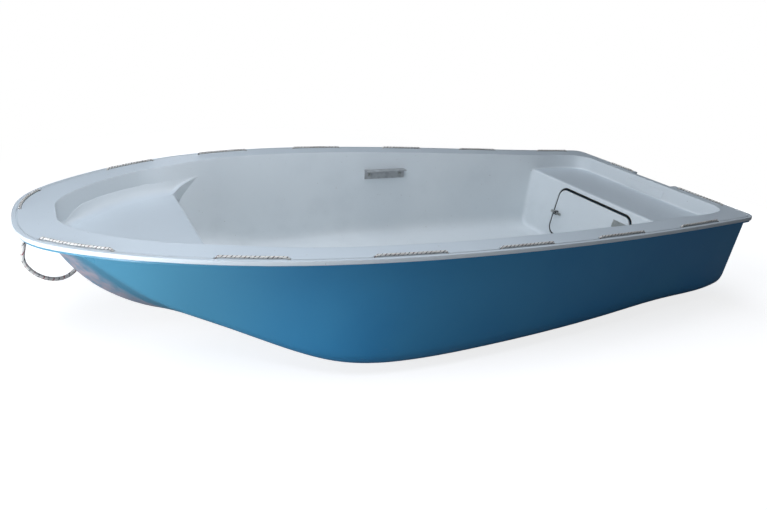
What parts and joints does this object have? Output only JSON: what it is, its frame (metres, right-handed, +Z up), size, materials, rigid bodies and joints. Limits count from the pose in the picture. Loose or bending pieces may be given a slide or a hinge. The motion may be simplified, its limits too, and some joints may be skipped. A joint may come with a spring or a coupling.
{
  "type": "rowing dinghy",
  "caption": "Small glass-fibre rowing dinghy with a blue hull, a pale moulded interior, seats at bow and stern and a hinged locker door under the stern seat.",
  "frame": {"origin": "centre of the boat's plan at half length, on the floor under the keel and the bilge runners", "axes": "+X towards the bow, +Y towards port, +Z up"},
  "size_m": [2.9, 1.4002, 0.5],
  "materials": {
    "blue_gelcoat": "worn satin gelcoat",
    "white_gelcoat": "weathered gelcoat",
    "black_rubber": "matt",
    "stainless": "brushed",
    "grey_alloy": "dull",
    "lacing_rope": "braided polyester, white with dark flecks",
    "mooring_rope": "braided polyester, white with dark and red flecks",
    "black_plastic": "moulded"
  },
  "bodies": {
    "hull": {"hull_shell": "blue_gelcoat", "deck_liner": "white_gelcoat", "door_seal": "black_rubber", "hinge_upper_frame_leaf": "stainless", "hinge_lower_frame_leaf": "stainless", "hinge_upper_pin": "stainless", "hinge_lower_pin": "stainless", "thwart_bracket_port": "grey_alloy", "thwart_bracket_starboard": "grey_alloy", "lacing_port": "lacing_rope", "lacing_starboard": "lacing_rope", "lacing_stern_port": "lacing_rope", "lacing_stern_starboard": "lacing_rope", "bow_rope": "mooring_rope"},
    "locker_door": {"locker_door_panel": "white_gelcoat", "hinge_upper_door_leaf": "stainless", "hinge_lower_door_leaf": "stainless", "latch_barrel": "black_plastic", "latch_tongue": "stainless"}
  },
  "joints": [
    {"name": "locker_door_hinge", "type": "hinge", "parent": "hull", "child": "locker_door", "pos_m": [-1.03999, 0.2515, 0.2149], "axis": [-0.1768, 0, 0.9842], "range_deg": [0, 105]}
  ]
}
